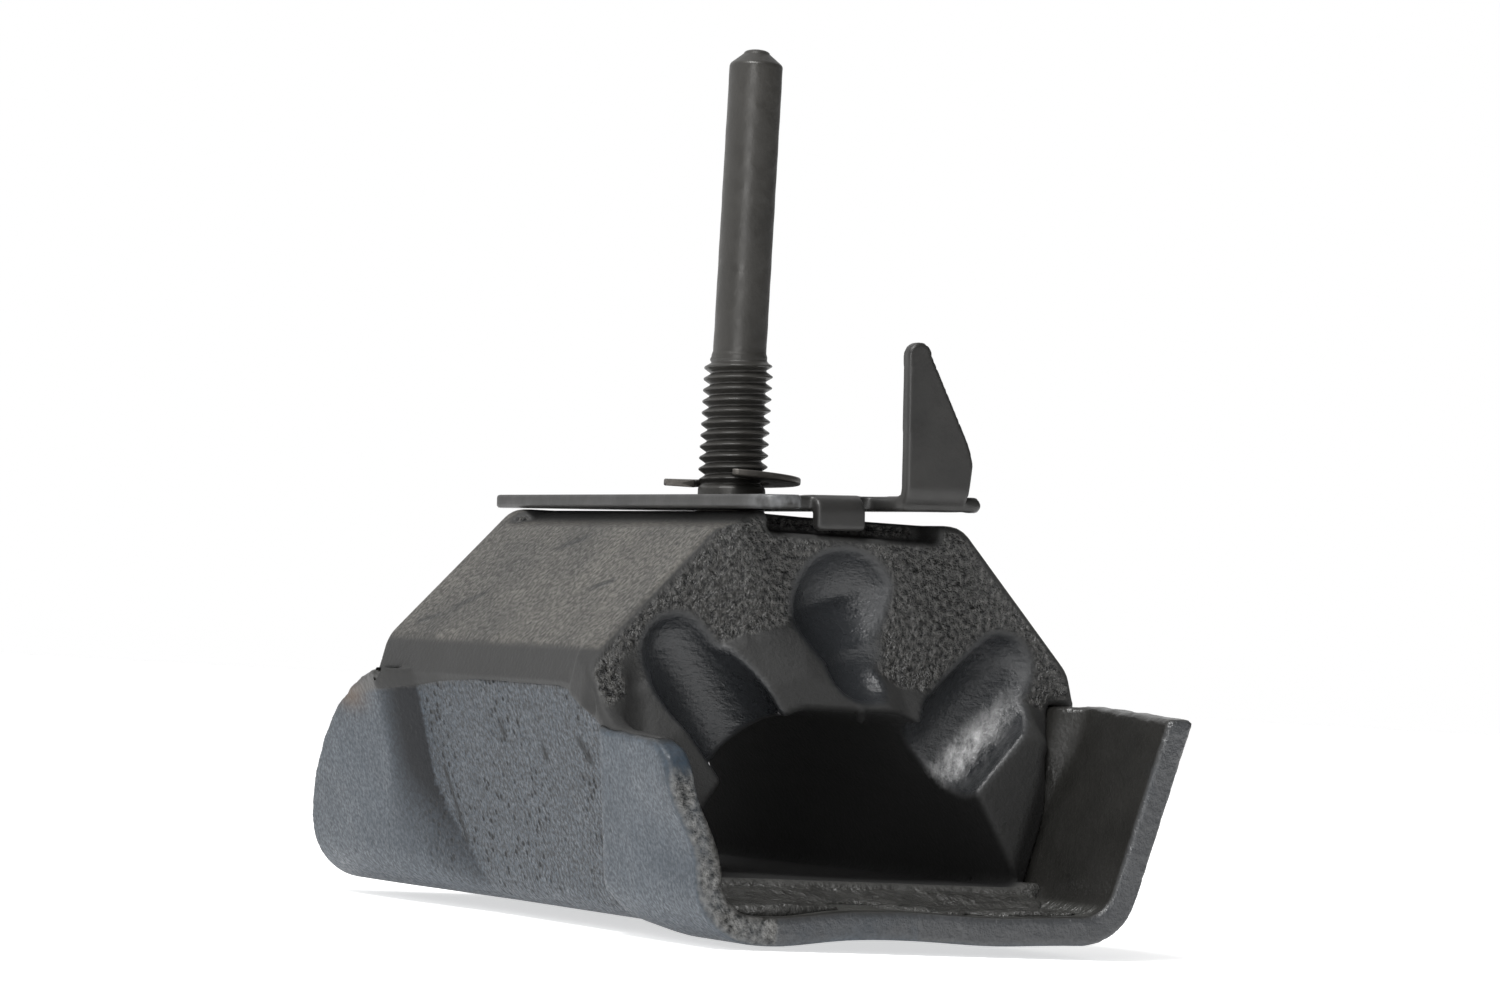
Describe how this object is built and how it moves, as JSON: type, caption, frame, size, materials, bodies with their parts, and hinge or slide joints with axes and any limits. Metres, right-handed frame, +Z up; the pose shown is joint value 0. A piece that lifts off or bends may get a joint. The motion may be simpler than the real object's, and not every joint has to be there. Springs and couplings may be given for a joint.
{
  "type": "rubber engine mount",
  "caption": "Rubber-to-metal engine mount: flared steel saddle, bonded rubber block with a tunnel, upright threaded stud, and a loose locating plate under a split washer.",
  "frame": {"origin": "on the saddle's flat underside, directly below the stud", "axes": "+Z up the stud, +Y along the tunnel away from the finger, +X across towards the full-height near ear"},
  "size_m": [0.0917, 0.138, 0.1387],
  "materials": {
    "saddle_coating": "black coated steel with a fine pitted orange-peel skin",
    "rubber": "moulded black rubber, rough on its end faces and smooth in its flutes",
    "core_steel": "bonded steel, hidden in the rubber",
    "stud_oxide": "black oxide steel with a soft sheen",
    "plate_coating": "black coated sheet steel, worn bright at a front corner",
    "washer_steel": "dark spring steel, worn at its edges"
  },
  "bodies": {
    "base": {"saddle": "saddle_coating", "rubber_block": "rubber"},
    "core": {"core_channel": "core_steel", "stud": "stud_oxide"},
    "plate": {"locator_plate": "plate_coating"},
    "washer": {"retaining_washer": "washer_steel"}
  },
  "joints": [
    {"name": "bounce", "type": "slide", "parent": "base", "child": "core", "axis": [0, 0, 1], "range_m": [-0.004, 0.002], "stiffness_N_per_m": 120000, "deforming": ["rubber_block"]},
    {"name": "plate_swing", "type": "hinge", "parent": "core", "child": "plate", "pos_m": [0, 0, 0.0643], "axis": [0, 0, 1], "range_deg": [-10, 15]},
    {"name": "washer_turn", "type": "hinge", "parent": "core", "child": "washer", "pos_m": [0, 0, 0.0693], "axis": [0, 0, 1], "continuous": true}
  ]
}
